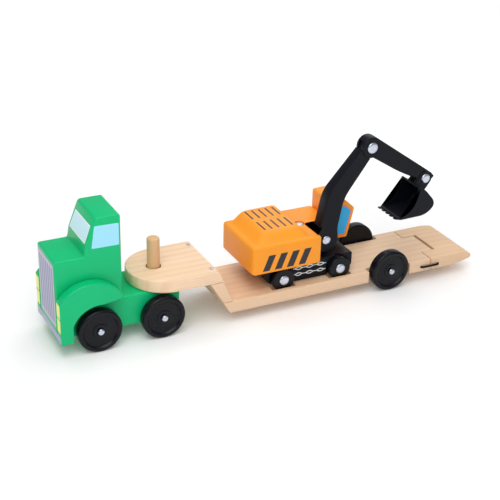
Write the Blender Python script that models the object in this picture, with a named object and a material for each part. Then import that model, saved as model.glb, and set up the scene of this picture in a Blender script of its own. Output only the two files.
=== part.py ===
"""Wooden low-loader toy: a green truck tractor, a pine trailer with a tail ramp and an orange excavator.

Every piece is its own closed solid in its own named object. Sizes are in millimetres, counted from the
trailer axle (x = 0), with +X to the tractor's nose, +Y to its left and z = 0 on the floor. MM turns them
into metres and X_MID moves the origin to the middle of the length.
"""
import math

import bmesh
import bpy
from mathutils import Matrix, Vector

MM = 0.001
GAP = 0.3            # clearance between pieces that touch
PAST = 5.0           # how far a cutting tool runs out past the face it opens
X_MID = 120.5        # middle of the whole length, from the trailer axle

# wheels and axles
WHEEL_R = 21.0       # tractor and trailer wheels
WHEEL_W = 10.0
WHEEL_EDGE = 2.2     # rounding of the tread's edges
WHEEL_DISH = 2.0     # depth of the outer face's dish
AXLE_R = 1.8
BORE_PLAY = 0.3      # radial clearance of an axle in its bore
CAP_R = 3.1
CAP_H = 1.7
FRONT_AXLE_X = 303.0
REAR_AXLE_X = 241.5

# tractor
BODY_HALF_W = 24.0   # cab and hood
BEAM_SIDE = 0.5      # the beam is this much wider than the hood on each side
BEAM_REAR_X = 222.0
BEAM_BOTTOM = WHEEL_R - 6.0           # the axles run 6 mm up in the beam
BEAM_TOP = BEAM_BOTTOM + 30.5
NOSE_X = 340.0
NOSE_BOARD_T = 10.3  # thickness of the nose below the hood
CAB_REAR_X = 277.6
SCREEN_FOOT = 34.7   # foot of the windscreen, from the cab's rear
SCREEN_KNEE = 32.9   # where the windscreen starts to lean back
SCREEN_KNEE_UP = 10.5
ROOF_L = 23.1
HOOD_TOP = BEAM_TOP + 46.5
CAB_TOP = HOOD_TOP + 35.5
FENDER_W = 10.7
FENDER_ARC_R = 35.7
ARCH_R = WHEEL_R + 6.0                # wheel arch clear of the wheel
FENDER_LEG = 12.0
FENDER_ARC_BACK = 29.0   # centre of the fender's outer arc, behind the nose
FENDER_ARC_Z = WHEEL_R + 13.8
FENDER_ARC_RISE = 20.8   # the outer arc starts and ends this far above its centre

# hitch
PEG_R = 6.0
PEG_X = 238.0
PEG_BOTTOM = BEAM_BOTTOM + 14.3
PLATE_HOLE_PLAY = 1.3

# trailer boards
BOARD_T = 12.0
BOARD_HALF_W = 36.0
PLATE_BOTTOM = BEAM_TOP + GAP
PEG_TOP = PLATE_BOTTOM + BOARD_T + 29.2
PLATE_NOSE_X = 228.0
PLATE_REAR_X = 182.0
PLATE_LEAN = 5.0     # its rear edge leans forward by this much over its thickness
DECK_BOTTOM = WHEEL_R - 9.5           # the axle runs 9.5 mm up in the deck
DECK_TOP = DECK_BOTTOM + BOARD_T
DECK_FRONT_X = 175.6
DECK_REAR_X = -49.0
NOTCH_HALF_L = WHEEL_R + 2.5          # wheel and its clearance
NOTCH_WALL_Y = BOARD_HALF_W - 9.0     # the notch is 9 mm deep
TONGUE_L = 13.5
TONGUE_HALF_W = 17.5
RAMP_TIP_X = -99.0
RAMP_PIVOT_X = -57.9
RAMP_PIVOT_Z = DECK_BOTTOM + 5.2
WIRE_R = 1.1
WIRE_SPAN = 20.1
WIRE_LEG = 8.0
WIRE_BEND_R = 2.0
NAIL_R = 0.9
NAIL_HEAD_R = 2.0
NAIL_Y = BOARD_HALF_W - 9.0
NAIL_IN = 9.0        # nail line, in front of the plate's rear edge
NAIL_DEPTH = 3.6
SLOPE = 0.6          # run per rise of the sloping board ends
RISER_T = 9.9
RAMP_KNUCKLE_R = 8.3
TONGUE_PLAY = 3.0    # behind the tongue, for the ramp's swing

# excavator, standing on the deck
DIG_WHEEL_R = 11.5
DIG_WHEEL_W = 8.0
DIG_AXLE_R = 1.5
DIG_FRONT_X = 54.0
DIG_REAR_X = 116.0
BASE_HALF_W = 24.5
BASE_END = 16.0      # undercarriage past its wheel centres
BASE_LIFT = 0.9      # undercarriage above the deck
BASE_TOP = DECK_TOP + 20.2
WHEEL_TUCK = 2.5     # wheels let into the undercarriage's sides
WELL_DEPTH = WHEEL_TUCK + 0.7
WELL_PLAY = 1.3
DIG_INNER = BASE_HALF_W - WHEEL_TUCK
SEAT_DEPTH = 4.2
SEAT_PLAY = 1.4
SEAT_HALF = DIG_WHEEL_R + 1.3         # half length of the wheel seats in the deck
SEAT_Y0 = DIG_INNER - SEAT_PLAY
SEAT_Y1 = DIG_INNER + DIG_WHEEL_W + SEAT_PLAY
SLEW_X = 85.5
SCREW_R = 2.0
SCREW_HEAD_R = 4.4
SCREW_SINK = 3.4
SCREW_DEPTH = 13.5   # below the undercarriage's top
HOUSE_BOTTOM = BASE_TOP + GAP
HOUSE_TOP = HOUSE_BOTTOM + 29.0
HOUSE_HALF_W = 34.5
HOUSE_REAR_X = 152.0
HUMP_H = 9.0
CAB_IN_Y = 4.5
OCAB_BOTTOM = HOUSE_BOTTOM + 6.2
OCAB_TOP = HOUSE_BOTTOM + 47.6
ARM_Y0 = CAB_IN_Y + 0.5
ARM_W = 13.0
CHEEK_T = 3.2
BUCKET_W = 34.0
BUCKET_T = 2.2
TOOTH_COUNT = 5
TOOTH_HALF_W = 1.7
TOOTH_IN = 3.0       # outer teeth, in from the bucket's sides
PIN_R = 2.2          # boom and elbow rivets
WRIST_PIN_R = 2.0
BOOM_HUB_R = 13.5
STICK_END_R = 10.6
SLOT_R = 9.9         # slot floor between the stick's cheeks
HEAD_TONGUE_R = 9.3  # boom's tongue inside that slot
STICK_EAR_R = 8.6    # relief for the bucket's ears
BUCKET_EAR_R = 7.6
BOOM_X, BOOM_Z = 64.7, HOUSE_BOTTOM + 14.5
ELBOW_X, ELBOW_Z = BOOM_X - 45.8, BOOM_Z + 88.9
WRIST_X, WRIST_Z = ELBOW_X - 64.5, ELBOW_Z - 42.0

GREEN = (0.01, 0.45, 0.17)
DARK_GREEN = (0.01, 0.24, 0.09)
BLACK = (0.012, 0.013, 0.018)
STEEL = (0.62, 0.66, 0.75)
PINE = (0.86, 0.66, 0.43)
ORANGE = (1.0, 0.32, 0.03)


def clear_scene():
    for obj in list(bpy.data.objects):
        bpy.data.objects.remove(obj, do_unlink=True)


def material(name, colour, rough, metal=0.0):
    mat = bpy.data.materials.new(name)
    mat.use_nodes = True
    bsdf = mat.node_tree.nodes["Principled BSDF"]
    bsdf.inputs["Base Color"].default_value = (*colour, 1.0)
    bsdf.inputs["Roughness"].default_value = rough
    bsdf.inputs["Metallic"].default_value = metal
    return mat


def node(name, bm, origin, colour, rough=0.45, metal=0.0, smooth=True):
    """Turn a bmesh drawn in millimetres into an object whose origin is at `origin` (millimetres)."""
    bmesh.ops.remove_doubles(bm, verts=bm.verts, dist=0.01)
    bmesh.ops.recalc_face_normals(bm, faces=bm.faces)
    bmesh.ops.transform(bm, matrix=Matrix.Scale(MM, 4) @ Matrix.Translation(-Vector(origin)), verts=bm.verts)
    mesh = bpy.data.meshes.new(name)
    bm.to_mesh(mesh)
    bm.free()
    obj = bpy.data.objects.new(name, mesh)
    bpy.context.scene.collection.objects.link(obj)
    obj.location = (Vector(origin) - Vector((X_MID, 0, 0))) * MM
    mesh.materials.append(material(name + "_mat", colour, rough, metal))
    if smooth:
        mesh.shade_smooth()
        mesh.set_sharp_from_angle(angle=math.radians(35))
    return obj


def add_loft(bm, rings):
    """Join rings of equal length into one closed body, with a flat face on each end."""
    loops = [[bm.verts.new(p) for p in ring] for ring in rings]
    n = len(rings[0])
    for a, b in zip(loops, loops[1:]):
        for i in range(n):
            j = (i + 1) % n
            bm.faces.new((a[i], a[j], b[j], b[i]))
    bm.faces.new(loops[0])
    bm.faces.new(loops[-1])


def prism(outline, axis, lo, hi):
    """Closed prism of a flat outline: (x, z) pushed along y, or (x, y) pushed along z."""
    def put(p, t):
        if axis == "y":
            return (p[0], t, p[1])
        return (p[0], p[1], t)
    bm = bmesh.new()
    add_loft(bm, [[put(p, lo) for p in outline], [put(p, hi) for p in outline]])
    return bm


def box(x0, x1, y0, y1, z0, z1):
    return prism([(x0, y0), (x1, y0), (x1, y1), (x0, y1)], "z", z0, z1)


def turned(profile, centre, axis="y", segs=32):
    """Closed lathe body: profile holds (distance along the axis, radius) from one end to the other."""
    bm = bmesh.new()
    rings = []
    for t, r in profile:
        ring = []
        for i in range(segs):
            a = 2 * math.pi * i / segs
            u, v = r * math.cos(a), r * math.sin(a)
            if axis == "y":
                ring.append((centre[0] + u, centre[1] + t, centre[2] + v))
            else:
                ring.append((centre[0] + u, centre[1] + v, centre[2] + t))
        rings.append(ring)
    add_loft(bm, rings)
    return bm


def rod(r, lo, hi, x, z, segs=16):
    return turned([(lo, r), (hi, r)], (x, 0, z), "y", segs)


def post(r, lo, hi, x, y, segs=24):
    return turned([(lo, r), (hi, r)], (x, y, 0), "z", segs)


def baked(obj):
    deps = bpy.context.evaluated_depsgraph_get()
    mesh = bpy.data.meshes.new_from_object(obj.evaluated_get(deps))
    obj.modifiers.clear()
    old = obj.data
    obj.data = mesh
    bpy.data.meshes.remove(old)


def combine(obj, bms, op):
    """Cut the bodies from the object, or join them to it, with the exact solver."""
    for bm in bms:
        tool = node("tool", bm, (X_MID, 0, 0), BLACK, smooth=False)
        mod = obj.modifiers.new("b", "BOOLEAN")
        mod.operation = op
        mod.solver = "EXACT"
        mod.object = tool
        bpy.context.view_layer.update()
        baked(obj)
        keep = tool.data
        bpy.data.objects.remove(tool, do_unlink=True)
        bpy.data.meshes.remove(keep)
    for mat in list(bpy.data.materials):
        if mat.name.startswith("tool") and mat.users == 0:
            bpy.data.materials.remove(mat)
    while len(obj.data.materials) > 1:
        obj.data.materials.pop()
    for poly in obj.data.polygons:
        poly.material_index = 0


def cut(obj, *bms):
    combine(obj, bms, "DIFFERENCE")


def join(obj, *bms):
    combine(obj, bms, "UNION")


def round_edges(obj, width, segs=2, angle=30):
    mod = obj.modifiers.new("round", "BEVEL")
    mod.width = width * MM
    mod.segments = segs
    mod.limit_method = "ANGLE"
    mod.angle_limit = math.radians(angle)
    mod.use_clamp_overlap = True
    bpy.context.view_layer.update()
    baked(obj)


def finish(obj):
    obj.data.shade_smooth()
    obj.data.set_sharp_from_angle(angle=math.radians(35))


def arc(cx, cz, r, a0, a1, n):
    """Points on a circle from angle a0 to a1 in degrees, both ends included."""
    out = []
    for i in range(n + 1):
        a = math.radians(a0 + (a1 - a0) * i / n)
        out.append((cx + r * math.cos(a), cz + r * math.sin(a)))
    return out


def placed(points, x, z):
    """Points given from a pivot, moved to where that pivot is."""
    return [(x + u, z + v) for u, v in points]


def tube(path, r, segs=10):
    """Closed round wire along a path in the x-y plane; each ring lies across the mean direction."""
    bm = bmesh.new()
    rings = []
    for i, p in enumerate(path):
        a = Vector(path[max(i - 1, 0)])
        b = Vector(path[min(i + 1, len(path) - 1)])
        d = (b - a).normalized()
        side = Vector((-d.y, d.x, 0))
        up = Vector((0, 0, 1))
        ring = []
        for k in range(segs):
            t = 2 * math.pi * k / segs
            ring.append(tuple(Vector(p) + side * (r * math.cos(t)) + up * (r * math.sin(t))))
        rings.append(ring)
    add_loft(bm, rings)
    return bm


def wheel(name, x, z, r, width, side, inner, bore_r):
    """A wheel with rounded tread edges, a shallow dish on the outer face and a bore."""
    e = min(WHEEL_EDGE, r * 0.12)
    segs = 32 if r > 15 else 24
    prof = [(0.0, r - e), (e, r), (width - e, r), (width - e * 0.3, r - e * 0.3), (width, r - e)]
    if r > 15:
        prof += [(width, r * 0.80), (width - WHEEL_DISH, r * 0.73), (width - WHEEL_DISH, r * 0.30)]
    prof = [(side * (inner + t), rr) for t, rr in prof]
    obj = node(name, turned(prof, (x, 0, z), "y", segs), (x, 0, z), BLACK, 0.25)
    lo, hi = sorted((side * (inner - 2), side * (inner + width + 2)))
    cut(obj, rod(bore_r, lo, hi, x, z))
    finish(obj)
    return obj


def cap(name, x, z, r, h, side, base, colour=STEEL):
    prof = [(0.0, r), (h * 0.35, r * 0.97), (h, r * 0.55)]
    prof = [(side * (base + t), rr) for t, rr in prof]
    return node(name, turned(prof, (x, 0, z), "y", 16), (x, 0, z), colour, 0.25, 0.9)


def wheelset(prefix, x, z, r, width, inner, axle_r, cap_r, cap_h, dig=False):
    """Axle rod, two wheels and two caps, all about the same line."""
    outer = inner + width
    node(prefix + "_axle", rod(axle_r, -outer, outer, x, z), (x, 0, z), STEEL, 0.3, 0.9)
    for side, word in ((1, "left"), (-1, "right")):
        wheel(prefix + "_" + word + "_wheel", x, z, r, width, side, inner, axle_r + BORE_PLAY)
        cap(prefix + "_" + word + "_cap", x, z, cap_r, cap_h, side, outer + GAP)


def cab_and_hood():
    y = BODY_HALF_W
    z0 = BEAM_TOP + GAP
    out = [(CAB_REAR_X, z0), (NOSE_X - NOSE_BOARD_T, z0), (NOSE_X - NOSE_BOARD_T, BEAM_BOTTOM)]
    out += [(NOSE_X, BEAM_BOTTOM), (NOSE_X, HOOD_TOP), (CAB_REAR_X + SCREEN_FOOT, HOOD_TOP)]
    out += [(CAB_REAR_X + SCREEN_KNEE, HOOD_TOP + SCREEN_KNEE_UP), (CAB_REAR_X + ROOF_L, CAB_TOP)]
    out += [(CAB_REAR_X, CAB_TOP)]
    obj = node("cab_and_hood", prism(out, "y", -y, y), (CAB_REAR_X, 0, z0), GREEN, 0.3)
    round_edges(obj, 1.4, 2)
    finish(obj)


def chassis_beam():
    y = BODY_HALF_W + BEAM_SIDE
    x1 = NOSE_X - NOSE_BOARD_T - GAP
    mid = (PEG_X, 0, BEAM_BOTTOM)
    obj = node("chassis_beam", box(BEAM_REAR_X, x1, -y, y, BEAM_BOTTOM, BEAM_TOP), mid, DARK_GREEN, 0.35)
    round_edges(obj, 1.4, 2)
    r = AXLE_R + BORE_PLAY
    for x in (FRONT_AXLE_X, REAR_AXLE_X):
        cut(obj, rod(r, -y - PAST, y + PAST, x, WHEEL_R))
    cut(obj, post(PEG_R + GAP, PEG_BOTTOM - GAP, BEAM_TOP + PAST, PEG_X, 0, 32))
    finish(obj)


def fender(name, side):
    cx, cz, r = NOSE_X - FENDER_ARC_BACK, FENDER_ARC_Z, FENDER_ARC_R
    a = math.degrees(math.asin(FENDER_ARC_RISE / r))
    out = [(NOSE_X, BEAM_BOTTOM)]
    out += arc(cx, cz, r, a, 180 - a, 14)
    out += [(cx - 30.2, cz + 18.8), (cx - 29.8, cz + 16.8), (cx - 28.0, cz + 15.4)]
    out += arc(FRONT_AXLE_X, WHEEL_R, ARCH_R, 96, 22.2, 12)
    out += [(NOSE_X - FENDER_LEG, BEAM_BOTTOM)]
    y0 = BODY_HALF_W + BEAM_SIDE + GAP
    lo, hi = sorted((side * y0, side * (y0 + FENDER_W)))
    obj = node(name, prism(out, "y", lo, hi), (NOSE_X, side * y0, BEAM_BOTTOM), GREEN, 0.3)
    round_edges(obj, 0.9, 2, 40)
    finish(obj)


def hitch_peg():
    prof = [(PEG_BOTTOM, PEG_R - 0.8), (PEG_BOTTOM + 0.8, PEG_R), (PEG_TOP - 1.4, PEG_R)]
    prof += [(PEG_TOP - 0.4, PEG_R - 0.5), (PEG_TOP, PEG_R - 1.6)]
    node("hitch_peg", turned(prof, (PEG_X, 0, 0), "z", 32), (PEG_X, 0, BEAM_TOP), PINE, 0.5)


def gooseneck_plate():
    w = BOARD_HALF_W
    top = PLATE_BOTTOM + BOARD_T
    flat = [(PLATE_NOSE_X + w * math.cos(math.radians(t)), w * math.sin(math.radians(t)))
            for t in range(-90, 91, 9)]
    rear = [(PLATE_REAR_X, w, PLATE_BOTTOM), (PLATE_REAR_X, -w, PLATE_BOTTOM)]
    low = [(x, y, PLATE_BOTTOM) for x, y in flat] + rear
    lean = PLATE_REAR_X + PLATE_LEAN
    high = [(x, y, top) for x, y in flat] + [(lean, w, top), (lean, -w, top)]
    bm = bmesh.new()
    add_loft(bm, [low, high])
    obj = node("gooseneck_plate", bm, (PEG_X, 0, PLATE_BOTTOM), PINE, 0.5)
    round_edges(obj, 1.0, 2, 40)
    cut(obj, post(PEG_R + PLATE_HOLE_PLAY, PLATE_BOTTOM - PAST, top + PAST, PEG_X, 0, 32))
    for side in (1, -1):
        x = PLATE_REAR_X + NAIL_IN
        cut(obj, post(NAIL_R + GAP, PLATE_BOTTOM - PAST, top + PAST, x, side * NAIL_Y, 12))
    finish(obj)


def riser_board():
    w = BOARD_HALF_W
    z0 = DECK_BOTTOM + BOARD_T + GAP
    z1 = PLATE_BOTTOM - GAP
    h = z1 - z0
    x1 = DECK_FRONT_X + BOARD_T * SLOPE
    x0 = x1 - RISER_T
    out = [(x0, z0), (x1, z0), (x1 + SLOPE * h, z1), (PLATE_REAR_X - 0.2, z1)]
    obj = node("riser_board", prism(out, "y", -w, w), (x0, 0, z0), PINE, 0.5)
    round_edges(obj, 0.7, 1, 40)
    for side in (1, -1):
        x = PLATE_REAR_X + NAIL_IN
        cut(obj, post(NAIL_R + GAP, z1 - NAIL_DEPTH - 0.4, z1 + PAST, x, side * NAIL_Y, 12))
    finish(obj)


def plate_nail(name, side):
    top = PLATE_BOTTOM + BOARD_T + GAP
    tip = PLATE_BOTTOM - GAP - NAIL_DEPTH
    prof = [(tip, 0.3), (tip + 1.2, NAIL_R), (top, NAIL_R)]
    prof += [(top, NAIL_HEAD_R), (top + 0.35, NAIL_HEAD_R), (top + 0.6, NAIL_HEAD_R - 0.5)]
    x = PLATE_REAR_X + NAIL_IN
    node(name, turned(prof, (x, side * NAIL_Y, 0), "z", 12), (x, side * NAIL_Y, top), STEEL, 0.4, 0.9)


def deck_board():
    w = BOARD_HALF_W
    top = DECK_BOTTOM + BOARD_T
    n, yi, xr = NOTCH_HALF_L, NOTCH_WALL_Y, DECK_REAR_X
    half = [(xr - TONGUE_L, TONGUE_HALF_W), (xr, TONGUE_HALF_W), (xr, w), (-n, w), (-n, yi), (n, yi), (n, w)]
    flat = [(x, -y) for x, y in half] + [(DECK_FRONT_X, -w), (DECK_FRONT_X, w)] + half[::-1]
    low = [(x, y, DECK_BOTTOM) for x, y in flat]
    high = [(x + (BOARD_T * SLOPE if abs(x - DECK_FRONT_X) < 0.01 else 0), y, top) for x, y in flat]
    bm = bmesh.new()
    add_loft(bm, [low, high])
    obj = node("deck_board", bm, (0, 0, DECK_BOTTOM), PINE, 0.5)
    round_edges(obj, 0.8, 1, 40)
    cut(obj, rod(AXLE_R + BORE_PLAY, -w - PAST, w + PAST, 0, WHEEL_R))
    for side in (1, -1):
        a, b = sorted((side * SEAT_Y0, side * SEAT_Y1))
        for x in (DIG_FRONT_X, DIG_REAR_X):
            cut(obj, box(x - SEAT_HALF, x + SEAT_HALF, a, b, top - SEAT_DEPTH, top + PAST))
        a, b = sorted((side * (w - WIRE_LEG - 1), side * (w + PAST)))
        cut(obj, rod(WIRE_R + GAP, a, b, RAMP_PIVOT_X + WIRE_SPAN, RAMP_PIVOT_Z, 12))
    finish(obj)


def rear_ramp():
    w = BOARD_HALF_W
    top = DECK_BOTTOM + BOARD_T
    px, pz, r = RAMP_PIVOT_X, RAMP_PIVOT_Z, RAMP_KNUCKLE_R
    a = math.degrees(math.asin((DECK_BOTTOM - pz) / r))
    out = [(px + r, top)] + arc(px, pz, r, 0, a, 3)
    out += [(RAMP_TIP_X + 19, DECK_BOTTOM), (RAMP_TIP_X + 1, DECK_BOTTOM + 4), (RAMP_TIP_X, DECK_BOTTOM + 6.5)]
    out += [(RAMP_TIP_X + 2, top - 2.2), (RAMP_TIP_X + 13.5, top)]
    obj = node("rear_ramp", prism(out, "y", -w, w), (px, 0, pz), PINE, 0.5)
    y = TONGUE_HALF_W + GAP
    cut(obj, box(DECK_REAR_X - TONGUE_L - TONGUE_PLAY, px + 20, -y, y, DECK_BOTTOM - PAST, top + PAST))
    round_edges(obj, 0.7, 1, 50)
    for side in (1, -1):
        a, b = sorted((side * (w - WIRE_LEG - 1), side * (w + PAST)))
        cut(obj, rod(WIRE_R + GAP, a, b, px, pz, 12))
    finish(obj)


def hinge_wire(name, side):
    y1 = BOARD_HALF_W + GAP + WIRE_R
    y0 = BOARD_HALF_W - WIRE_LEG
    x0, x1 = RAMP_PIVOT_X, RAMP_PIVOT_X + WIRE_SPAN
    b = WIRE_BEND_R
    path = [(x0, y0), (x0, y1 - b)]
    path += [(x0 + b - b * math.cos(t), y1 - b + b * math.sin(t)) for t in (0.5, 1.05)]
    path += [(x0 + b, y1), (x1 - b, y1)]
    path += [(x1 - b + b * math.sin(t), y1 - b + b * math.cos(t)) for t in (0.5, 1.05)]
    path += [(x1, y1 - b), (x1, y0)]
    path = [(x, side * y, RAMP_PIVOT_Z) for x, y in path]
    node(name, tube(path, WIRE_R), (x0, side * y1, RAMP_PIVOT_Z), BLACK, 0.35, 0.6)


def undercarriage():
    y = BASE_HALF_W
    lo = DECK_BOTTOM + BOARD_T + BASE_LIFT
    x0, x1 = DIG_FRONT_X - BASE_END, DIG_REAR_X + BASE_END
    knee = DECK_TOP + 7.0
    out = [(x0, knee), (x0 + 7, lo), (x1 - 7, lo), (x1, knee), (x1, BASE_TOP), (x0, BASE_TOP)]
    hub = DIG_WHEEL_R + DECK_BOTTOM + BOARD_T - SEAT_DEPTH + GAP
    obj = node("undercarriage", prism(out, "y", -y, y), (SLEW_X, 0, BASE_TOP), BLACK, 0.35)
    round_edges(obj, 0.8, 1, 25)
    for x in (DIG_FRONT_X, DIG_REAR_X):
        for side in (1, -1):
            a, b = sorted((side * (y - WELL_DEPTH), side * (y + PAST)))
            cut(obj, rod(DIG_WHEEL_R + WELL_PLAY, a, b, x, hub, 32))
        cut(obj, rod(DIG_AXLE_R + BORE_PLAY, -y - PAST, y + PAST, x, hub))
    cut(obj, post(SCREW_R + GAP, BASE_TOP - SCREW_DEPTH - 0.5, BASE_TOP + PAST, SLEW_X, 0))
    finish(obj)
    return hub


def slew_screw():
    z = HOUSE_TOP
    tip = BASE_TOP - SCREW_DEPTH
    prof = [(tip, 1.2), (tip + 1.0, SCREW_R), (z - SCREW_SINK, SCREW_R), (z - SCREW_SINK, SCREW_HEAD_R)]
    prof += [(z - 1.6, SCREW_HEAD_R), (z - 0.7, SCREW_HEAD_R - 1.0), (z - 0.4, SCREW_HEAD_R - 2.8)]
    node("slew_screw", turned(prof, (SLEW_X, 0, 0), "z", 24), (SLEW_X, 0, z), STEEL, 0.3, 0.9)


def engine_body():
    w = HOUSE_HALF_W
    xr, xn, xf = HOUSE_REAR_X, 79.0, 53.3
    out = [(xr, -w), (xr, w), (xn, w), (xn, CAB_IN_Y), (xf, CAB_IN_Y), (xf, -w)]
    obj = node("engine_body", prism(out, "z", HOUSE_BOTTOM, HOUSE_TOP), (SLEW_X, 0, HOUSE_BOTTOM), ORANGE, 0.35)
    round_edges(obj, 2.6, 3, 30)
    t = HOUSE_TOP
    foot = [(90.9, 3.0 - w), (145.5, 3.0 - w), (145.5, w - 3.0), (90.9, w - 3.0)]
    crown = [(98.5, 4.5 - w), (133.0, 5.0 - w), (133.0, w - 15.0), (98.5, w - 15.0)]
    bm = bmesh.new()
    add_loft(bm, [[(x, y, t - 6) for x, y in foot], [(x, y, t - 0.4) for x, y in foot],
                  [(x, y, t + HUMP_H) for x, y in crown]])
    join(obj, bm)
    cut(obj, post(SCREW_HEAD_R + 0.9, t - SCREW_SINK - 0.4, t + 20, SLEW_X, 0, 24))
    cut(obj, post(SCREW_R + GAP, HOUSE_BOTTOM - PAST, t + PAST, SLEW_X, 0))
    cut(obj, rod(PIN_R + GAP, -6.0, 40, BOOM_X, BOOM_Z, 16))
    finish(obj)


def operator_cab():
    xr, z0, z1 = 53.0, OCAB_BOTTOM, OCAB_TOP
    out = [(xr, z0), (xr, z1 - 0.6), (xr - 15.3, z1), (xr - 27.2, z1 - 10.9), (xr - 20.1, z0)]
    mid = (xr, 0, z0)
    obj = node("operator_cab", prism(out, "y", -HOUSE_HALF_W, CAB_IN_Y), mid, ORANGE, 0.35)
    round_edges(obj, 1.5, 2, 25)
    finish(obj)


def boom():
    y0, y1 = ARM_Y0, ARM_Y0 + ARM_W
    out = [(7.4, 13.6), (0.2, 48.1), (-37.8, 90.9), (-45.2, 94.5)]
    out = placed(out + [(-52.7, 88.5), (-45.7, 79.5), (-18.0, 41.2), (-12.5, 11.2)], BOOM_X, BOOM_Z)
    out += arc(BOOM_X, BOOM_Z, BOOM_HUB_R, 175, 390, 18)
    obj = node("boom", prism(out, "y", y0, y1), (BOOM_X, y0, BOOM_Z), BLACK, 0.4)
    round_edges(obj, 0.9, 1, 40)
    cut(obj, rod(STICK_END_R + 0.5, y0 - PAST, y1 + PAST, ELBOW_X, ELBOW_Z, 40))
    ym0, ym1 = y0 + CHEEK_T + GAP, y1 - CHEEK_T - GAP
    tongue = arc(ELBOW_X, ELBOW_Z, HEAD_TONGUE_R, 40, 220, 14)
    tongue += placed([(3.6, -10.4), (11.6, -5.4)], ELBOW_X, ELBOW_Z)
    join(obj, prism(tongue, "y", ym0, ym1))
    for x, z in ((BOOM_X, BOOM_Z), (ELBOW_X, ELBOW_Z)):
        cut(obj, rod(PIN_R + GAP, y0 - PAST, y1 + PAST, x, z, 16))
    finish(obj)


def stick():
    y0, y1 = ARM_Y0, ARM_Y0 + ARM_W
    tip = [(-72.5, -37.7), (-77.0, -42.5), (-75.5, -44.3), (-70.1, -47.4), (-37.2, -32.7)]
    out = arc(ELBOW_X, ELBOW_Z, STICK_END_R, -100, 125, 16) + placed(tip, ELBOW_X, ELBOW_Z)
    obj = node("stick", prism(out, "y", y0, y1), (ELBOW_X, y0, ELBOW_Z), BLACK, 0.4)
    ym0, ym1 = y0 + CHEEK_T, y1 - CHEEK_T
    slot = arc(ELBOW_X, ELBOW_Z, SLOT_R, 40, 235, 16)
    slot += placed([(-2.0, -17.4), (26.1, -17.4), (26.1, 8.0)], ELBOW_X, ELBOW_Z)
    cut(obj, prism(slot, "y", ym0, ym1))
    lip = placed([(-24.4, 6.6), (-7.4, 4.1), (0.0, 0.0), (4.6, -7.4), (-14.4, -10.4)], WRIST_X, WRIST_Z)
    for a, b in ((y0 - PAST, ym0 + GAP), (ym1 - GAP, y1 + PAST)):
        cut(obj, rod(STICK_EAR_R, a, b, WRIST_X, WRIST_Z, 32))
        cut(obj, prism(lip, "y", a, b))
    cut(obj, rod(WRIST_PIN_R + GAP, y0 - PAST, y1 + PAST, WRIST_X, WRIST_Z, 16))
    for a, b in ((y0 - PAST, ym0 + 1), (ym1 - 1, y1 + PAST)):
        cut(obj, rod(PIN_R + GAP, a, b, ELBOW_X, ELBOW_Z, 16))
    finish(obj)


def bucket():
    mid = ARM_Y0 + ARM_W / 2
    h, t = BUCKET_W / 2, BUCKET_T
    out = [(12.3, -3.7), (14.4, -13.9), (18.4, -23.4), (25.6, -29.9), (36.0, -33.8), (32.6, -35.6)]
    out += [(6.6, -35.0), (-0.9, -31.8), (-6.3, -26.0), (-5.1, -19.8), (5.2, -8.1)]
    out = placed(out, WRIST_X, WRIST_Z)
    obj = node("bucket", prism(out, "y", mid - h, mid + h), (WRIST_X, mid - h, WRIST_Z), BLACK, 0.4)
    inner = [(7.4, -9.2), (-2.8, -20.8), (-3.7, -25.2), (0.4, -29.8), (7.0, -32.7), (30.1, -33.3)]
    inner += [(41.6, -32.0), (45.6, -15.4), (25.6, 2.6), (17.6, -1.4)]
    inner = placed(inner, WRIST_X, WRIST_Z)
    cut(obj, prism(inner, "y", mid - h + t, mid + h - t))
    ym0, ym1 = ARM_Y0 + CHEEK_T, ARM_Y0 + ARM_W - CHEEK_T
    ear = arc(WRIST_X, WRIST_Z, BUCKET_EAR_R, 10, 215, 12)
    ear += placed([(0.1, -12.9), (3.1, -10.5), (8.3, -7.4), (12.0, -4.1)], WRIST_X, WRIST_Z)
    for a, b in ((ARM_Y0, ym0), (ym1, ARM_Y0 + ARM_W)):
        join(obj, prism(ear, "y", a, b))
    tooth = placed([(33.3, -35.6), (35.0, -33.2), (39.0, -32.8), (39.0, -34.0)], WRIST_X, WRIST_Z)
    for k in range(TOOTH_COUNT):
        y = mid - h + TOOTH_IN + k * (BUCKET_W - 2 * TOOTH_IN) / (TOOTH_COUNT - 1)
        join(obj, prism(tooth, "y", y - TOOTH_HALF_W, y + TOOTH_HALF_W))
    cut(obj, rod(WRIST_PIN_R + GAP, mid - h - PAST, mid + h + PAST, WRIST_X, WRIST_Z, 16))
    finish(obj)


def pin(name, x, z, r, y0, y1, head_r, both):
    prof = [(y0, r)]
    if both:
        prof = [(y0 - 1.2, head_r - 0.8), (y0 - 0.6, head_r), (y0, head_r), (y0, r)]
    prof += [(y1, r), (y1, head_r), (y1 + 0.7, head_r), (y1 + 1.4, head_r - 0.9)]
    node(name, turned(prof, (x, 0, z), "y", 16), (x, y0, z), STEEL, 0.3, 0.9)


clear_scene()
cab_and_hood()
chassis_beam()
fender("left_fender", 1)
fender("right_fender", -1)
hitch_peg()
inner = BODY_HALF_W + BEAM_SIDE + 0.8
wheelset("front", FRONT_AXLE_X, WHEEL_R, WHEEL_R, WHEEL_W, inner, AXLE_R, CAP_R, CAP_H)
wheelset("rear", REAR_AXLE_X, WHEEL_R, WHEEL_R, WHEEL_W, inner, AXLE_R, CAP_R, CAP_H)
gooseneck_plate()
riser_board()
deck_board()
rear_ramp()
hinge_wire("left_hinge_wire", 1)
hinge_wire("right_hinge_wire", -1)
wheelset("trailer", 0.0, WHEEL_R, WHEEL_R, WHEEL_W, NOTCH_WALL_Y + 2.3, AXLE_R, CAP_R, CAP_H)
plate_nail("left_plate_nail", 1)
plate_nail("right_plate_nail", -1)
hub_z = undercarriage()
wheelset("digger_front", DIG_FRONT_X, hub_z, DIG_WHEEL_R, DIG_WHEEL_W, DIG_INNER, DIG_AXLE_R, 5.0, 1.5)
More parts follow.
